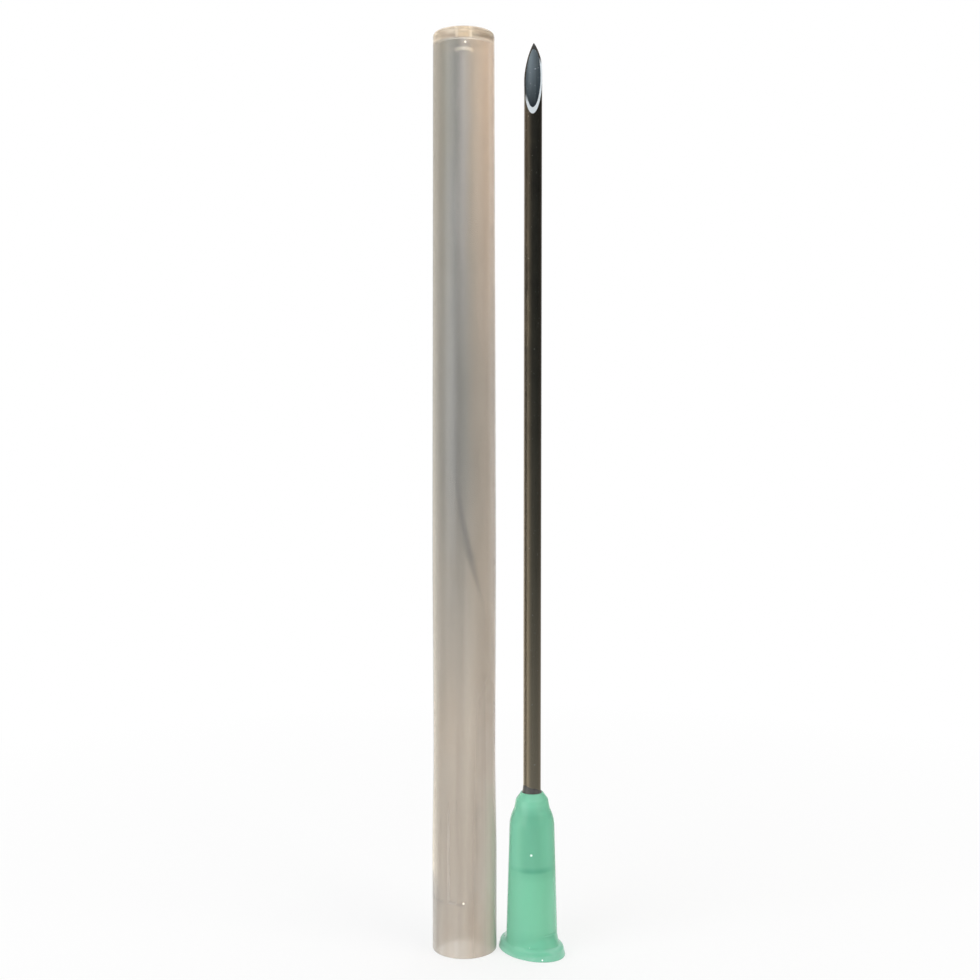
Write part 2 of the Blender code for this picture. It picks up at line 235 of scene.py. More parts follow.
# Bowl of light: its outline, and its shades once round from behind, with the front at 0.5
BOWL_HALF = math.radians(150)
BOWL_STEPS = 64
BOWL_OUTLINE = [(0.03, 0.0005), (0.10, 0.001), (0.22, 0.006), (0.38, 0.04), (0.52, 0.12), (0.60, 0.24),
                (0.62, 0.66)]
BOWL_SHADES = [(0.03, (0.40, 0.37, 0.33)), (0.13, (0.98, 0.90, 0.77)), (0.22, (0.95, 0.86, 0.71)),
               (0.36, (0.29, 0.26, 0.21)), (0.46, (0.064, 0.070, 0.066)), (0.66, (0.044, 0.048, 0.045)),
               (0.82, (0.06, 0.057, 0.050)), (0.95, (0.30, 0.28, 0.25))]
BOWL_FOOT_COLOUR = (0.95, 0.90, 0.80)
BOWL_RIM_COLOUR = (0.90, 0.96, 1.0)
BOWL_LOW_STRENGTH = 2.3
BOWL_HIGH_STRENGTH = 1.3


def arc(centre_r, centre_z, radius, start, end, steps):
    """Points (radius, height) on an arc, angles in degrees from outward."""
    points = []
    for i in range(steps + 1):
        angle = math.radians(start + (end - start) * i / steps)
        points.append((centre_r + radius * math.cos(angle), centre_z + radius * math.sin(angle)))
    return points


def filled_in(points, longest):
    """The same outline with each long straight run cut into equal steps."""
    out = [points[0]]
    for (r0, z0), (r1, z1) in zip(points, points[1:]):
        count = max(1, math.ceil(math.hypot(r1 - r0, z1 - z0) / longest))
        for i in range(1, count + 1):
            out.append((r0 + (r1 - r0) * i / count, z0 + (z1 - z0) * i / count))
    return out


def followed(radius_at, start, end, rows):
    """Points from one height to another, both included, on a curve that a function of height gives."""
    heights = [start + (end - start) * i / rows for i in range(rows + 1)]
    return [(radius_at(z), z) for z in heights]


def broken(radius, height, steps):
    """Points of a broken edge: steps outward and up from its corner, in mm."""
    return [(radius + out * MM, height + up * MM) for out, up in steps]


def rounded(share):
    """How far a quarter-round edge has drawn in, from 0 at its start to 1 at its end."""
    return 1 - math.sqrt(max(0.0, 1 - share * share))


def held(share):
    """A share kept between 0 and 1."""
    return min(1.0, max(0.0, share))


def drawn(outline):
    """A new bmesh with an outline of (radius, height) points, and its vertices and edges."""
    work = bmesh.new()
    verts = [work.verts.new((r, 0.0, z)) for r, z in outline]
    edges = [work.edges.new(pair) for pair in zip(verts, verts[1:])]
    return work, verts, edges


def spun(outline, steps, closed):
    """Spin an outline once round Z into a bmesh."""
    work, verts, edges = drawn(outline)
    if closed:
        edges.append(work.edges.new((verts[-1], verts[0])))
    bmesh.ops.spin(work, geom=verts + edges, cent=(0, 0, 0), axis=(0, 0, 1),
                   angle=math.tau, steps=steps, use_merge=True)
    bmesh.ops.remove_doubles(work, verts=work.verts, dist=CLOSE)
    bmesh.ops.recalc_face_normals(work, faces=work.faces)
    return work


def mesh_from(work, name):
    """The bmesh as a mesh."""
    mesh = bpy.data.meshes.new(name)
    work.to_mesh(mesh)
    work.free()
    return mesh


def put(name, data):
    """A new object with this data, in the scene."""
    thing = bpy.data.objects.new(name, data)
    bpy.context.scene.collection.objects.link(thing)
    return thing


def finished(work, name, place, mats, node, sharp=30.0, turn=0.0):
    """Place the bmesh, make it an object that rides on the root, and hide its CAD node."""
    if turn:
        bmesh.ops.rotate(work, verts=work.verts, cent=(0, 0, 0), matrix=Matrix.Rotation(turn, 3, "Z"))
    bmesh.ops.translate(work, verts=work.verts, vec=place)
    mesh = mesh_from(work, name)
    mesh.shade_smooth()
    mesh.set_sharp_from_angle(angle=math.radians(sharp))
    for mat in mats:
        mesh.materials.append(mat)
    piece = put(name, mesh)
    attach(piece, "root")
    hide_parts(node)
    return piece


def join_shaders(tree, fac, first, second, output):
    """Mix two shaders into a tree's output: the first where fac is 0, the second where it is 1."""
    mix = tree.nodes.new("ShaderNodeMixShader")
    tree.links.new(fac, mix.inputs["Fac"])
    tree.links.new(first.outputs[0], mix.inputs[1])
    tree.links.new(second.outputs[0], mix.inputs[2])
    tree.links.new(mix.outputs[0], tree.nodes[output].inputs["Surface"])


class Nodes:
    """Short names for the node calls that every finish here uses."""

    SOCKETS = {"base": "Base Color", "metal": "Metallic", "rough": "Roughness", "ior": "IOR",
               "trans": "Transmission Weight", "specular": "Specular IOR Level",
               "glow": "Emission Color", "glow_strength": "Emission Strength"}

    def __init__(self, name):
        self.mat = bpy.data.materials.new(name)
        self.mat.use_nodes = True
        self.tree = self.mat.node_tree
        self.shader = self.tree.nodes["Principled BSDF"]
        self.coord = self.tree.nodes.new("ShaderNodeTexCoord").outputs["Object"]

    def add(self, kind, **settings):
        node = self.tree.nodes.new(kind)
        for key, value in settings.items():
            setattr(node, key, value)
        return node

    def link(self, source, target):
        self.tree.links.new(source, target)

    def give(self, socket, value):
        """Link a socket to another one, or set it to a number or a colour."""
        if isinstance(value, bpy.types.NodeSocket):
            self.link(value, socket)
        elif isinstance(value, tuple):
            socket.default_value = (*value, 1.0)
        else:
            socket.default_value = value

    def centred(self, place, scale=(1, 1, 1), turn=0.0):
        """Object coordinates measured from a piece's own axis, then turned and scaled."""
        mapping = self.add("ShaderNodeMapping", vector_type="POINT")
        shift = self.add("ShaderNodeVectorMath", operation="SUBTRACT")
        self.link(self.coord, shift.inputs[0])
        shift.inputs[1].default_value = place
        self.link(shift.outputs[0], mapping.inputs["Vector"])
        mapping.inputs["Scale"].default_value = scale
        mapping.inputs["Rotation"].default_value = (0, 0, turn)
        return mapping.outputs["Vector"]

    def noise(self, vector, scale, detail=3.0, rough=0.5):
        node = self.add("ShaderNodeTexNoise")
        self.link(vector, node.inputs["Vector"])
        node.inputs["Scale"].default_value = scale
        node.inputs["Detail"].default_value = detail
        node.inputs["Roughness"].default_value = rough
        return node.outputs["Fac"]

    def ramp(self, fac, stops):
        """Colours that blend from stop to stop."""
        node = self.add("ShaderNodeValToRGB")
        self.link(fac, node.inputs["Fac"])
        bar = node.color_ramp
        while len(bar.elements) < len(stops):
            bar.elements.new(0.5)
        for element, (at, colour) in zip(bar.elements, stops):
            element.position = at
            element.color = (*colour, 1.0)
        return node.outputs["Color"]

    def span(self, value, low, high, to_low=0.0, to_high=1.0):
        """A value's way from low to high, held at both ends."""
        node = self.add("ShaderNodeMapRange", clamp=True)
        self.link(value, node.inputs["Value"])
        node.inputs["From Min"].default_value = low
        node.inputs["From Max"].default_value = high
        node.inputs["To Min"].default_value = to_low
        node.inputs["To Max"].default_value = to_high
        return node.outputs["Result"]

    def mix(self, fac, a, b):
        node = self.add("ShaderNodeMix", data_type="RGBA", blend_type="MIX")
        self.give(node.inputs["Factor"], fac)
        self.give(node.inputs["A"], a)
        self.give(node.inputs["B"], b)
        return node.outputs["Result"]

    def maths(self, operation, a, b=0.0):
        node = self.add("ShaderNodeMath", operation=operation)
        self.give(node.inputs[0], a)
        self.give(node.inputs[1], b)
        return node.outputs[0]

    def times(self, a, b):
        return self.maths("MULTIPLY", a, b)

    def plus(self, a, b):
        return self.maths("ADD", a, b)

    def band(self, value, rise_start, rise_end, fall_start, fall_end, fall_to=1.0):
        """A mask that rises, then falls to nothing. fall_to is its level before it falls."""
        rise = self.span(value, rise_start, rise_end)
        return self.times(rise, self.span(value, fall_start, fall_end, fall_to, 0.0))

    def parts(self, vector):
        """X, Y and Z of a vector."""
        node = self.add("ShaderNodeSeparateXYZ")
        self.link(vector, node.inputs[0])
        return node.outputs[0], node.outputs[1], node.outputs[2]

    def height(self):
        return self.parts(self.coord)[2]

    def glint_dots(self, axis_x, axis_y, marks):
        """A mask of small round painted glints, each fading out at its edge."""
        total = 0.0
        for heading, reach, height, size in marks:
            node = self.add("ShaderNodeVectorMath", operation="DISTANCE")
            self.link(self.coord, node.inputs[0])
            node.inputs[1].default_value = (axis_x + reach * math.sin(heading),
                                            axis_y - reach * math.cos(heading), height)
            dot = self.span(node.outputs["Value"], size * 0.5, size, 1.0, 0.0)
            total = self.maths("MAXIMUM", total, dot)
        return total

    def bump(self, height, strength, distance):
        node = self.add("ShaderNodeBump")
        self.link(height, node.inputs["Height"])
        node.inputs["Strength"].default_value = strength
        node.inputs["Distance"].default_value = distance
        self.link(node.outputs["Normal"], self.shader.inputs["Normal"])

    def set(self, **values):
        for key, value in values.items():
            self.give(self.shader.inputs[self.SOCKETS[key]], value)

    def shown(self, lamp_light=0.0):
        """The finished material. lamp_light is how much of the lamps' light passes straight through."""
        if lamp_light:
            path = self.add("ShaderNodeLightPath")
            clear = self.add("ShaderNodeBsdfTransparent")
            passed = self.times(path.outputs["Is Shadow Ray"], lamp_light)
            join_shaders(self.tree, passed, self.shader, clear, "Material Output")
        return self.mat


def drawn_steel():
    """Dark brown-grey steel, drawn along its length, with stains and bright specks. A painted
    reflection makes it lighter near the hub."""
    n = Nodes("drawn_steel")
    lines = n.noise(n.centred(NEEDLE_FOOT, (1, 1, 0.012)), 5200.0, 3.0, 0.65)
    stain = n.noise(n.centred(NEEDLE_FOOT, (1, 1, 0.35)), 620.0, 4.0, 0.6)
    speck = n.noise(n.centred(NEEDLE_FOOT, (1, 1, 0.6)), 5200.0, 1.0)
    dark, mean, light = (0.120, 0.112, 0.098), (0.168, 0.156, 0.134), (0.215, 0.195, 0.162)
    groove, painted_hub_reflection, bright = (0.075, 0.072, 0.064), (0.295, 0.268, 0.222), (0.40, 0.39, 0.36)
    base = n.ramp(stain, [(0.30, dark), (0.52, mean), (0.72, light)])
    base = n.mix(n.span(lines, 0.35, 0.75, 0.0, 0.35), base, groove)
    # painted reflection: the steel turns lighter towards the hub
    low = n.maths("POWER", n.span(n.height(), TUBE_LIGHT_Z, TUBE_DARK_Z, 1.0, 0.0), 0.6)
    base = n.mix(low, base, painted_hub_reflection)
    base = n.mix(n.span(speck, 0.72, 0.78), base, bright)
    n.set(base=base, metal=1.0, rough=n.span(lines, 0.3, 0.7, 0.26, 0.40))
    n.bump(lines, 0.25, 0.006 * MM)
    return n.shown()


def wheel_ground(n, base, smooth, coarse):
    """Bare steel with the fine lines that a grinding wheel leaves across it."""
    lines = n.noise(n.centred(NEEDLE_FOOT, (0.05, 0.05, 1.0)), 9000.0, 2.0)
    n.set(base=base, metal=1.0, rough=n.span(lines, 0.3, 0.7, smooth, coarse))
    n.bump(lines, 0.2, 0.004 * MM)
    return n.shown()


def ground_steel():
    """The long bevel: bright, with painted dark reflections at the point and along its upper left."""
    n = Nodes("ground_steel")
    bright, dark = (0.90, 0.95, 0.98), (0.075, 0.075, 0.075)
    x, y, z = n.parts(n.centred(NEEDLE_FOOT))
    # painted dark reflections at the point and along the upper left
    tip = n.span(z, TIP_Z - 2.6 * MM, TIP_Z - 1.8 * MM)
    left = n.times(n.span(x, -0.60 * MM, -0.30 * MM, 1.0, 0.0),
                   n.span(z, HEEL_Z + 1.3 * MM, HEEL_Z + 2.3 * MM))
    base = n.mix(n.maths("MAXIMUM", tip, left), bright, dark)
    return wheel_ground(n, base, 0.28, 0.40)


def honed_steel():
    """The two side facets of the point: ground finer, and dark brown beside the bevel, which is a painted
    dark reflection.
    """
    return wheel_ground(Nodes("honed_steel"), (0.075, 0.064, 0.052), 0.26, 0.38)


def bore_steel():
    """The inside of the tube: slate grey and dull, with painted shade that darkens both sides and turns it
    dark blue near the heel.
    """
    n = Nodes("bore_steel")
    lines = n.noise(n.centred(NEEDLE_FOOT, (1, 1, 0.02)), 5200.0, 3.0, 0.6)
    speck = n.noise(n.centred(NEEDLE_FOOT), 4200.0, 1.0)
    slate, shaded_right_side, shaded_left_side = (0.235, 0.290, 0.330), (0.055, 0.075, 0.090), (0.100, 0.125, 0.150)
    streak, shaded_heel_blue, bright = (0.270, 0.325, 0.365), (0.085, 0.095, 0.215), (0.45, 0.50, 0.56)
    x = n.parts(n.centred(NEEDLE_FOOT))[0]
    # painted shade: darker at both sides of the bore and dark blue near the heel
    base = n.mix(n.span(x, -0.15 * MM, 0.55 * MM), slate, shaded_right_side)
    base = n.mix(n.span(x, -0.75 * MM, -0.40 * MM, 0.6, 0.0), base, shaded_left_side)
    base = n.mix(n.span(lines, 0.3, 0.7, 0.0, 0.25), base, streak)
    heel = n.span(n.height(), HEEL_Z - 0.4 * MM, HEEL_Z + 1.8 * MM, 0.8, 0.0)
    base = n.mix(heel, base, shaded_heel_blue)
    base = n.mix(n.span(speck, 0.70, 0.76), base, bright)
    n.set(base=base, metal=0.45, rough=0.42)
    n.bump(lines, 0.25, 0.006 * MM)
    return n.shown()


def green_moulding():
    """Satin pale green plastic that light passes into: lighter at the nose, with painted light over the
    socket and at the left, painted shade in a darker crescent where the funnel shows through, and glowing
    painted glints."""
    n = Nodes("pale_green_moulding")
    cloud = n.noise(n.centred(NEEDLE_FOOT, (1, 1, 0.4)), 420.0, 3.0)
    fine = n.noise(n.centred(NEEDLE_FOOT), 6000.0, 2.0)
    green, cloudy_green = (0.222, 0.640, 0.440), (0.252, 0.675, 0.470)
    light_through_socket, at_nose, painted_light_at_left = (0.318, 0.778, 0.548), (0.278, 0.725, 0.508), (0.340, 0.760, 0.560)
    crescent, glint_colour, glint_glow = (0.110, 0.480, 0.320), (0.95, 1.0, 0.97), (0.80, 1.0, 0.93)
    x, y, z = n.parts(n.centred(NEEDLE_FOOT))
    base = n.mix(cloud, green, cloudy_green)
    # painted light: lighter where light shows through the wall over the hollow socket
    body = n.band(z, 1.8 * MM, 3.4 * MM, SOCKET_DEPTH - 0.3 * MM, SOCKET_DEPTH + 0.9 * MM, 0.6)
    base = n.mix(body, base, light_through_socket)
    nose = n.span(z, SHOULDER_Z - 0.5 * MM, SHOULDER_Z + 0.7 * MM)
    base = n.mix(nose, base, at_nose)
    # painted light: the left side is made lighter
    base = n.mix(n.span(x, -2.8 * MM, -1.4 * MM, 0.4, 0.0), base, painted_light_at_left)
    # painted shade: a darker crescent where the funnel shows through, fainter at the sides
    funnel = n.band(z, FUNNEL_SHADE_Z - 0.45 * MM, FUNNEL_SHADE_Z - 0.15 * MM,
                    FUNNEL_SHADE_Z, FUNNEL_SHADE_Z + 0.45 * MM)
    faint_at_sides = n.span(n.maths("ABSOLUTE", x), 0.9 * MM, 2.3 * MM, 0.55, 0.15)
    base = n.mix(n.times(funnel, faint_at_sides), base, crescent)
    # painted glints: small white dots that also glow
    glint = n.glint_dots(NEEDLE_X, NEEDLE_Y, HUB_GLINTS)
    base = n.mix(glint, base, glint_colour)
    n.set(base=base, rough=n.span(fine, 0.3, 0.7, 0.20, 0.25), ior=1.49)
    n.set(trans=n.span(nose, 0.0, 1.0, 0.46, 0.35))
    n.set(glow=glint_glow, glow_strength=n.times(glint, 0.45))
    return n.shown(lamp_light=0.35)


def sheath_colour_and_light(n, side, z, streak):
    """Colour of the sheath's wall: pale streaks at the foot, and painted light and shade above them: grey
    at mid height, and at the top a cool shaded side, a dark stripe, a light stripe and a warm lit side. The
    left edge is darker all the way up with painted shade."""
    pale, paler, warm_patch = (0.595, 0.540, 0.480), (0.765, 0.715, 0.645), (0.630, 0.550, 0.462)
    flow_line, shaded_left_edge = (0.72, 0.66, 0.58), (0.34, 0.32, 0.285)
    # painted light and shade across the wall, above the streaked foot
    upper = n.ramp(side, UPPER_LIGHT_AND_SHADE)
    middle = n.ramp(side, MIDDLE_LIGHT_AND_SHADE)
    mottle = n.noise(n.centred(SHEATH_FOOT, (1, 1, 0.5)), 150.0, 4.0, 0.6)
    lower = n.mix(n.span(streak, 0.3, 0.7), pale, paler)
    lower = n.mix(n.span(mottle, 0.50, 0.64, 0.0, 0.65), lower, warm_patch)
    base = n.mix(n.span(z, MIDDLE_FROM_Z, MIDDLE_FULL_Z), lower, middle)
    base = n.mix(n.span(z, UPPER_FROM_Z, UPPER_FULL_Z), base, upper)
    base = n.mix(n.span(streak, 0.42, 0.72, 0.0, 0.18), base, flow_line)
    # painted shade along the left edge
    edge = n.times(n.span(side, 0.02, 0.24, 0.5, 0.0), n.span(z, EDGE_FAINT_Z, EDGE_FULL_Z, 0.3, 1.0))
    return n.mix(edge, base, shaded_left_edge)


def dark_reflection_wisp(n, x, y, z, cloud):
    """Where the painted dark reflection runs as a wisp: down the front and to the right, widest at its
    heart.
    """
    heading = n.maths("ARCTAN2", x, n.times(y, -1.0))
    drop = n.maths("POWER", n.span(z, WISP_FOOT_Z, WISP_TOP_Z, 1.0, 0.0), 1.7)
    lean = n.span(drop, 0.0, 1.0, WISP_TOP_HEADING, WISP_FOOT_HEADING)
    wavering = n.plus(heading, n.span(cloud, 0.3, 0.7, -0.05, 0.05))
    off = n.maths("ABSOLUTE", n.maths("SUBTRACT", wavering, lean))
    swell = n.band(z, WISP_FOOT_Z, WISP_HEART_Z, WISP_HEART_Z, WISP_TOP_Z)
    width = n.plus(n.times(swell, 0.15), 0.045)
    inside = n.span(n.maths("DIVIDE", off, width), 0.0, 1.0, 0.42, 0.0)
    return n.times(inside, n.plus(swell, 0.25))


def ledge_shade_mask(n, side, reach, z):
    """Painted shade in dark arcs where the ledge in the mouth shows through, at the inner wall only."""
    height = n.band(z, MOUTH_DEPTH - 0.20 * MM, MOUTH_DEPTH - 0.10 * MM,
                    MOUTH_DEPTH + 0.02 * MM, MOUTH_DEPTH + 0.12 * MM)
    inner = n.span(reach, SHEATH_MOUTH_RADIUS - 0.4 * MM, SHEATH_MOUTH_RADIUS - 0.3 * MM, 1.0, 0.0)
    arcs = n.ramp(side, [(at, (level,) * 3) for at, level in LEDGE_SHADE_ARCS])
    return n.times(n.times(height, inner), arcs)


def stud_rim_highlight(n, reach, z):
    """A painted highlight: the bright ring at the end of the gate stud."""
    ring = n.band(reach, GATE_RADIUS + 0.08 * MM, GATE_RADIUS + 0.20 * MM,
                  STUD_RADIUS + 0.05 * MM, STUD_RADIUS + 0.15 * MM)
    return n.times(ring, n.span(z, STUD_END_Z + 0.25 * MM, STUD_END_Z + 0.40 * MM, 1.0, 0.0))


def milky_moulding():
    """Milky see-through plastic: the colour of the wall with its painted light and shade, and over them a
    dark wisp of painted reflection, a warm closed end with painted highlights, painted shade in arcs at the
    ledge, a glowing painted highlight on the rim of the gate stud, glowing painted glints and a hazy lower
    right."""
    n = Nodes("milky_moulding")
    streak = n.noise(n.centred(SHEATH_FOOT, (1, 1, 0.02)), 900.0, 3.0, 0.6)
    cloud = n.noise(n.centred(SHEATH_FOOT, (1, 1, 0.3)), 260.0, 3.0)
    end_highlights = n.noise(n.centred(SHEATH_FOOT, (1, 1, 2.5)), 420.0, 2.0)
    wisp_reflection_grey, amber, cream = (0.20, 0.21, 0.23), (0.66, 0.55, 0.43), (0.98, 0.87, 0.70)
    ledge_shade_grey, rim_highlight_cream, haze = (0.15, 0.15, 0.14), (1.0, 0.93, 0.74), (0.520, 0.435, 0.390)
    x, y, z = n.parts(n.centred(SHEATH_FOOT))
    reach = n.maths("SQRT", n.plus(n.times(x, x), n.times(y, y)))
    wavy = n.plus(n.maths("DIVIDE", x, SHEATH_BELLY_RADIUS), n.span(cloud, 0.3, 0.7, -0.07, 0.07))
    side = n.span(wavy, -1.0, 1.0)
    base = sheath_colour_and_light(n, side, z, streak)
    # painted dark reflection: a wisp down the front
    base = n.mix(dark_reflection_wisp(n, x, y, z, cloud), base, wisp_reflection_grey)
    # a warm closed end with random painted highlights
    end = n.span(z, CEILING_Z - 0.1 * MM, CEILING_Z + 0.1 * MM)
    base = n.mix(end, base, n.mix(n.span(end_highlights, 0.42, 0.58), amber, cream))
    # painted shade: dark arcs at the ledge in the mouth
    base = n.mix(ledge_shade_mask(n, side, reach, z), base, ledge_shade_grey)
    # painted highlight: the rim of the gate stud is made bright, less see-through and glowing
    rim = stud_rim_highlight(n, reach, z)
    base = n.mix(rim, base, rim_highlight_cream)
    hazy = n.times(n.span(z, HAZE_FULL_Z, HAZE_END_Z, 1.0, 0.0), n.span(side, 0.58, 0.95))
    base = n.mix(n.times(hazy, 0.5), base, haze)
    trans = n.maths("SUBTRACT", n.span(rim, 0.0, 1.0, 0.75, 0.10), n.times(hazy, 0.68))
    n.set(base=base, rough=n.span(cloud, 0.3, 0.7, 0.16, 0.26), trans=trans, ior=1.49, specular=0.35)
    # painted glints: the glowing stud rim and small glowing dots
    glint = n.maths("MAXIMUM", n.times(rim, 0.9), n.glint_dots(SHEATH_X, SHEATH_Y, SHEATH_GLINTS))
    n.set(glow=(1.0, 0.94, 0.82), glow_strength=glint)
    n.bump(streak, 0.06, 0.012 * MM)
    return n.shown(lamp_light=0.6)


def glue():
    """Set adhesive: dark cloudy grey."""
    n = Nodes("set_glue")
    cloud = n.noise(n.centred(NEEDLE_FOOT), 1500.0, 2.0)
    n.set(base=n.mix(n.span(cloud, 0.3, 0.7), (0.065, 0.062, 0.060), (0.105, 0.100, 0.096)), rough=0.38)
    return n.shown()


def make_tube():
    """The steel tube, spun, then ground by three planes through its point."""
    inner = TUBE_RADIUS - TUBE_WALL
    stock = TIP_Z + GRINDING_STOCK
    outline = [(inner, TUBE_FOOT_Z), (TUBE_RADIUS, TUBE_FOOT_Z), (TUBE_RADIUS, stock), (inner, stock)]
    work = spun(outline, TUBE_STEPS, True)
    tip = Vector((0.0, TUBE_RADIUS, TIP_Z))
    grinds = [(math.atan2(2 * TUBE_RADIUS, BEVEL_LENGTH), 0.0, GROUND)]
    grinds += [(FACET_ANGLE_LEFT, -FACET_TURN, HONED), (FACET_ANGLE_RIGHT, FACET_TURN, HONED)]
    for angle, turn, finish in grinds:
        flat = math.cos(angle)
        normal = Vector((math.sin(turn) * flat, -math.cos(turn) * flat, math.sin(angle)))
        cut = bmesh.ops.bisect_plane(work, geom=work.verts[:] + work.edges[:] + work.faces[:], dist=1e-8,
                                     plane_co=tip, plane_no=normal, clear_outer=True)["geom_cut"]
        edges = [part for part in cut if isinstance(part, bmesh.types.BMEdge)]
        made = bmesh.ops.triangle_fill(work, edges=edges, use_beauty=True, normal=normal)["geom"]
        for face in made:
            if isinstance(face, bmesh.types.BMFace):
                face.material_index = finish
    bmesh.ops.recalc_face_normals(work, faces=work.faces)
    for face in work.faces:
        middle = face.calc_center_median()
        looks_in = face.normal.x * middle.x + face.normal.y * middle.y < -0.5 * middle.xy.length
        if face.material_index == DRAWN and looks_in:
            face.material_index = BORE
    return finished(work, "tube", NEEDLE_FOOT,
                    [drawn_steel(), ground_steel(), honed_steel(), bore_steel()], "cannula",
                    sharp=TUBE_SHARP, turn=BEVEL_HEADING)


def body_radius(z):
    """Outer radius of the hub's tapered body."""
    return BODY_FOOT_RADIUS + (BODY_TOP_RADIUS - BODY_FOOT_RADIUS) * min(1.0, z / BODY_TOP_Z)


def flange_radius(z):
    """Outer radius of the flange at a height, along the line of its lugs."""
    top = FLANGE_HALF_SPAN - FLANGE_DRAFT
    edge_z = FLANGE_RIM - FLANGE_EDGE
    if z < FLANGE_FOOT_EDGE:
        return FLANGE_HALF_SPAN - FLANGE_FOOT_EDGE * rounded(1 - z / FLANGE_FOOT_EDGE)
    if z < edge_z:
        return FLANGE_HALF_SPAN - FLANGE_DRAFT * (z - FLANGE_FOOT_EDGE) / (edge_z - FLANGE_FOOT_EDGE)
    if z < FLANGE_RIM:
        return top - FLANGE_EDGE * rounded((z - edge_z) / FLANGE_EDGE)
    out = top - FLANGE_EDGE
    return out - (out - BODY_FOOT_RADIUS) * min(1.0, (z - FLANGE_RIM) / (RAMP_TOP_Z - FLANGE_RIM))


def make_hub():
    """The hub as one skin: the foot swells into the oblong flange and blends back into the body."""
    chamfer_foot = HUB_TOP_Z - NOSE_CHAMFER
    nose = broken(NOSE_RIM_RADIUS, HUB_TOP_Z, NOSE_RIM_BREAK)
    nose += broken(NOSE_TIP_RADIUS, chamfer_foot, NOSE_SIDE_BREAK)
    shoulder = []
    for i in range(SHOULDER_ROWS + 1):
        fall = i / SHOULDER_ROWS
        radius = NOSE_ROOT_RADIUS + (BODY_TOP_RADIUS - NOSE_ROOT_RADIUS) * (1 - (1 - fall) ** 2)
        shoulder.append((radius, SHOULDER_Z + (BODY_TOP_Z - SHOULDER_Z) * fall))
    side_foot = (body_radius(BODY_ROWS_FOOT_Z), BODY_ROWS_FOOT_Z)
    side = filled_in([shoulder[-1], side_foot], BODY_ROW)[1:]
    flange_rows = [(body_radius(i * FLANGE_ROW), i * FLANGE_ROW) for i in range(FLANGE_ROWS, 0, -1)]
    foot = broken(BODY_FOOT_RADIUS, 0.0, HUB_FOOT_BREAK)
    mouth = (SOCKET_MOUTH_RADIUS, SOCKET_CHAMFER)
    hollow = [(SOCKET_MOUTH_RADIUS + SOCKET_CHAMFER, 0.0)]
    hollow += filled_in([mouth, (SOCKET_END_RADIUS, SOCKET_DEPTH)], SOCKET_ROW)
    hollow += [(BORE_RADIUS, SOCKET_DEPTH + FUNNEL_DEPTH), (BORE_RADIUS, HUB_TOP_Z - WELL_DEPTH)]
    hollow += [(WELL_RADIUS, HUB_TOP_Z - WELL_DEPTH / 3), (WELL_RADIUS, HUB_TOP_Z - WELL_RIM)]
    work = spun(nose + shoulder + side + flange_rows + foot + hollow, HUB_STEPS, True)
    for vert in work.verts:
        reach = math.hypot(vert.co.x, vert.co.y)
        z = vert.co.z
        if z > SWELL_TOP_Z or reach < SWELL_INNER_RADIUS:
            continue
        heading = math.atan2(vert.co.y, vert.co.x) - FLANGE_HEADING
        squeeze = 1 / math.hypot(math.cos(heading), math.sin(heading) * FLANGE_HALF_SPAN / FLANGE_HALF_WAIST)
        body = body_radius(z) if z > FOOT_FACE_Z else reach
        wanted = body
        if z <= RAMP_TOP_Z:
            rim = flange_radius(z) * squeeze
            overlap = max(0.0, 1 - abs(body - rim) / FLANGE_BLEND)
            wanted = max(body, rim) + FLANGE_BLEND * overlap * overlap / 4
        vert.co.x *= wanted / reach
        vert.co.y *= wanted / reach
    return finished(work, "hub_moulding", NEEDLE_FOOT,
                    [green_moulding()], "hub", sharp=HUB_SHARP)


def make_glue():
    """The ring of glue in the well, with a meniscus that climbs the tube higher on one side."""
    inside = TUBE_RADIUS + GLUE_GAP
    out = WELL_RADIUS - GLUE_LIP
    foot_z = HUB_TOP_Z - WELL_DEPTH + GLUE_FOOT_GAP
    outline = [(inside, HUB_TOP_Z + GLUE_RISE)]
    for i in range(1, GLUE_ROWS + 1):
        share = i / GLUE_ROWS
        spread = (out - inside - GLUE_LIP) * share ** GLUE_CURVE
        outline.append((inside + GLUE_LIP + spread, HUB_TOP_Z + GLUE_RISE * (1 - share)))
    outline += [(out, HUB_TOP_Z - WELL_DEPTH / 3), (BORE_RADIUS - GLUE_BORE_GAP, foot_z), (inside, foot_z)]
    work = spun(outline, TUBE_STEPS, True)
    for vert in work.verts:
        if vert.co.z > HUB_TOP_Z:
            heading = math.atan2(vert.co.y, vert.co.x) - GLUE_HEADING
            creep = GLUE_CREEP_MEAN + GLUE_CREEP_SWING * math.cos(heading)
            creep += GLUE_CREEP_RIPPLE * math.sin(5 * heading)
            vert.co.z = HUB_TOP_Z + (vert.co.z - HUB_TOP_Z) * creep
    return finished(work, "glue_ring", NEEDLE_FOOT, [glue()], "adhesive")


def sheath_outer(z):
    """Outer radius of the sheath: a soft curve through its mouth band, waist, belly and top."""
    marks = [(MOUTH_BAND_Z, SHEATH_MOUTH_RADIUS), (WAIST_Z, SHEATH_WAIST_RADIUS)]
    marks += [(BELLY_Z, SHEATH_BELLY_RADIUS), (SHEATH_TOP_Z - SHEATH_TOP_EDGE, SHEATH_TOP_RADIUS)]
    if z <= marks[0][0]:
        return marks[0][1]
    for (z0, r0), (z1, r1) in zip(marks, marks[1:]):
        if z <= z1:
            share = (z - z0) / (z1 - z0)
            if z1 <= BELLY_Z:
                share = share * share * (3 - 2 * share)
            return r0 + (r1 - r0) * share
    return marks[-1][1]


def sheath_inner(z):
    """Inner radius of the sheath between its ribs."""
    return sheath_outer(z) - SHEATH_WALL


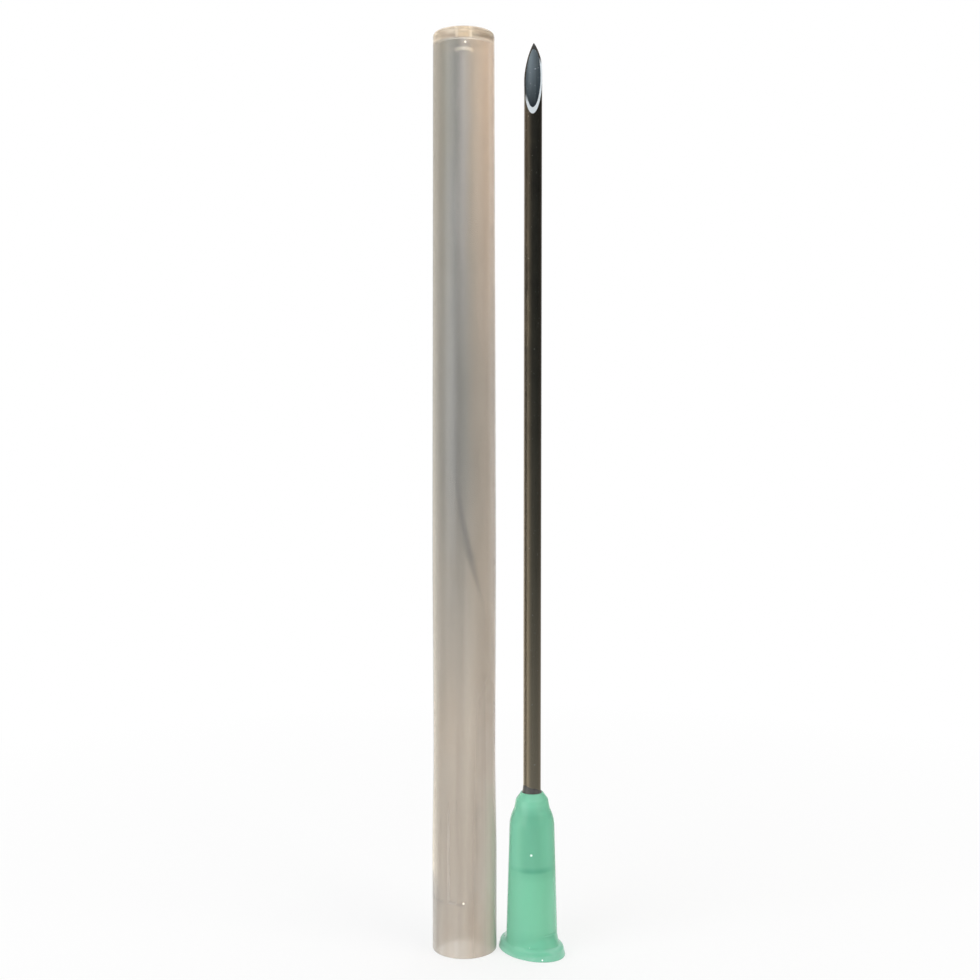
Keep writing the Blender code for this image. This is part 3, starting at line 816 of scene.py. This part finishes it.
def make_sheath():
    """The sheath: gate well, outer skin, mouth, ledge, ribs, and the stud round the gate well."""
    top = SHEATH_TOP_Z
    edge_z = top - SHEATH_TOP_EDGE
    gate_floor_z = STUD_END_Z + GATE_WALL
    outline = [(0.0, gate_floor_z), (GATE_RADIUS * 0.8, gate_floor_z)]
    outline += [(GATE_RADIUS * 0.9, gate_floor_z + GATE_FLOOR_EDGE)]
    outline += broken(GATE_RADIUS, top, GATE_LIP)
    outline += arc(SHEATH_TOP_RADIUS - SHEATH_TOP_EDGE, edge_z, SHEATH_TOP_EDGE, 90, 0, 10)
    outline += followed(sheath_outer, edge_z, WAIST_Z, SHEATH_ROWS)[1:]
    outline += followed(sheath_outer, WAIST_Z, MOUTH_BAND_Z, WAIST_ROWS)[1:]
    band = [(SHEATH_MOUTH_RADIUS, MOUTH_BAND_Z), (SHEATH_MOUTH_RADIUS, MOUTH_EDGE)]
    outline += filled_in(band, MOUTH_BAND_ROW)[1:]
    outline += arc(SHEATH_MOUTH_RADIUS - MOUTH_EDGE, MOUTH_EDGE, MOUTH_EDGE, 0, -90, 5)[1:]
    outline += [(MOUTH_BORE_RADIUS + MOUTH_LEAD_WIDTH, 0.0), (MOUTH_BORE_RADIUS, MOUTH_LEAD_DEPTH)]
    outline += [(MOUTH_BORE_RADIUS, MOUTH_DEPTH - LEDGE_DROP)]
    outline += [(sheath_inner(MOUTH_DEPTH) + LEDGE_GAP, MOUTH_DEPTH - LEDGE_EDGE)]
    outline += followed(sheath_inner, MOUTH_DEPTH, RIB_ROWS_TOP_Z, RIB_ROWS)
    outline += followed(sheath_inner, RIB_ROWS_TOP_Z, CEILING_Z - SHEATH_CORNER, SHEATH_ROWS)[1:]
    corner_radius = sheath_inner(CEILING_Z) - SHEATH_CORNER
    outline += arc(corner_radius, CEILING_Z - SHEATH_CORNER, SHEATH_CORNER, 0, 90, 6)[1:]
    outline += [(STUD_RADIUS + STUD_EDGE, CEILING_Z), (STUD_RADIUS, CEILING_Z - STUD_EDGE)]
    outline += arc(STUD_RADIUS - SHEATH_CORNER, STUD_END_Z + SHEATH_CORNER, SHEATH_CORNER, 0, -90, 6)
    outline += [(0.0, STUD_END_Z)]
    work = spun(outline, SHEATH_STEPS, False)
    pitch = math.tau / RIB_COUNT
    for vert in work.verts:
        reach = math.hypot(vert.co.x, vert.co.y)
        z = vert.co.z
        if not MOUTH_DEPTH - 1e-6 <= z <= RIB_TOP_Z or reach > sheath_outer(z) - SHEATH_WALL / 2:
            continue
        heading = math.atan2(vert.co.y, vert.co.x)
        off = abs((heading + pitch / 2) % pitch - pitch / 2) * RIB_BORE_RADIUS
        stand = held((RIB_WIDTH / 2 + RIB_FLANK / 2 - off) / RIB_FLANK)
        runout = held((RIB_TOP_Z - z) / (RIB_TOP_Z - RIB_RUNOUT_Z))
        start = min(1.0, (z - MOUTH_DEPTH) / RIB_START + RIB_START_SHARE)
        bore = sheath_inner(z)
        wanted = bore - (bore - RIB_BORE_RADIUS) * stand * runout * start
        vert.co.x *= wanted / reach
        vert.co.y *= wanted / reach
    return finished(work, "sheath_moulding", SHEATH_FOOT,
                    [milky_moulding()], "sheath", sharp=SHEATH_SHARP)


def stage_light_path(tree):
    """A 1 wherever the camera, a mirror or a see-through surface looks."""
    path = tree.nodes.new("ShaderNodeLightPath")
    total = path.outputs["Is Camera Ray"]
    for name in ("Is Glossy Ray", "Is Transmission Ray"):
        add = tree.nodes.new("ShaderNodeMath")
        add.operation = "ADD"
        add.use_clamp = True
        tree.links.new(total, add.inputs[0])
        tree.links.new(path.outputs[name], add.inputs[1])
        total = add.outputs[0]
    return total


def make_world():
    """A soft grey room that looks plain white."""
    world = bpy.data.worlds.new("white_room")
    bpy.context.scene.world = world
    world.use_nodes = True
    tree = world.node_tree
    room = tree.nodes["Background"]
    room.inputs["Color"].default_value = ROOM_COLOUR
    room.inputs["Strength"].default_value = ROOM_STRENGTH
    white = tree.nodes.new("ShaderNodeBackground")
    white.inputs["Color"].default_value = WHITE
    white.inputs["Strength"].default_value = 1.0
    join_shaders(tree, stage_light_path(tree), room, white, "World Output")


def make_floor():
    """A pale floor: it keeps the shadow near the object and turns to plain white further off."""
    work = bmesh.new()
    bmesh.ops.create_circle(work, cap_ends=True, radius=FLOOR_RADIUS, segments=FLOOR_STEPS)
    mesh = mesh_from(work, "floor")
    floor = put("floor", mesh)
    n = Nodes("pale_floor")
    n.set(base=FLOOR_COLOUR, rough=0.9, specular=0.1)
    white = n.add("ShaderNodeEmission")
    length = n.add("ShaderNodeVectorMath", operation="LENGTH")
    n.link(n.coord, length.inputs[0])
    fade = n.span(length.outputs["Value"], FLOOR_FADE_START, FLOOR_FADE_END, FLOOR_WHITE_SHARE, 1.0)
    join_shaders(n.tree, n.times(stage_light_path(n.tree), fade), n.shader, white, "Material Output")
    mesh.materials.append(n.mat)


def make_lamps():
    """Three soft lamps. Gloss doesn't see them, only the bowl."""
    for name, place, width, height, watts, colour in LAMPS:
        data = bpy.data.lights.new(name, "AREA")
        data.shape = "RECTANGLE"
        data.size = width
        data.size_y = height
        data.energy = watts
        data.color = colour
        lamp = put(name, data)
        lamp.location = place
        lamp.rotation_euler = (LAMP_TARGET - Vector(place)).to_track_quat("-Z", "Y").to_euler()
        lamp.visible_glossy = False


def make_reflector():
    """A bowl of light, open behind, that only gloss sees: bright and warm at the back left, nearly
    black from the front round to the right, grey at the back right, and cool white at its rim."""
    work, verts, edges = drawn(BOWL_OUTLINE)
    start = Matrix.Rotation(VIEW_HEADING - BOWL_HALF, 3, "Z")
    bmesh.ops.rotate(work, verts=verts, cent=(0, 0, 0), matrix=start)
    bmesh.ops.spin(work, geom=verts + edges, cent=(0, 0, 0), axis=(0, 0, 1),
                   angle=2 * BOWL_HALF, steps=BOWL_STEPS)
    mesh = mesh_from(work, "reflector")
    bowl = put("reflector", mesh)
    n = Nodes("reflector")
    x, y, z = n.parts(n.centred((0, 0, 0), turn=-VIEW_HEADING))
    heading = n.maths("ARCTAN2", y, x)
    shade = n.ramp(n.span(heading, -math.pi, math.pi), BOWL_SHADES)
    shade = n.mix(n.span(z, 0.001, 0.012, 0.15, 0.0), shade, BOWL_FOOT_COLOUR)
    shade = n.mix(n.span(z, 0.48, 0.60), shade, BOWL_RIM_COLOUR)
    light = n.add("ShaderNodeEmission")
    n.link(shade, light.inputs["Color"])
    n.link(n.span(z, 0.02, 0.20, BOWL_LOW_STRENGTH, BOWL_HIGH_STRENGTH), light.inputs["Strength"])
    n.link(light.outputs[0], n.tree.nodes["Material Output"].inputs["Surface"])
    n.tree.nodes.remove(n.shader)
    mesh.materials.append(n.mat)
    bowl.visible_camera = False
    bowl.visible_diffuse = False
    bowl.visible_transmission = False
    bowl.visible_shadow = False
    bowl.visible_volume_scatter = False


def make_camera():
    data = bpy.data.cameras.new("camera")
    data.lens = LENS
    data.sensor_width = SENSOR_WIDTH
    data.clip_start = CLIP_START
    camera = put("camera", data)
    camera.location = EYE
    camera.rotation_euler = (TARGET - EYE).to_track_quat("-Z", "Y").to_euler()
    bpy.context.scene.camera = camera


make_camera()
make_world()
make_floor()
make_lamps()
make_reflector()
make_tube()
make_hub()
make_glue()
make_sheath()
bpy.context.scene.view_settings.view_transform = "Standard"
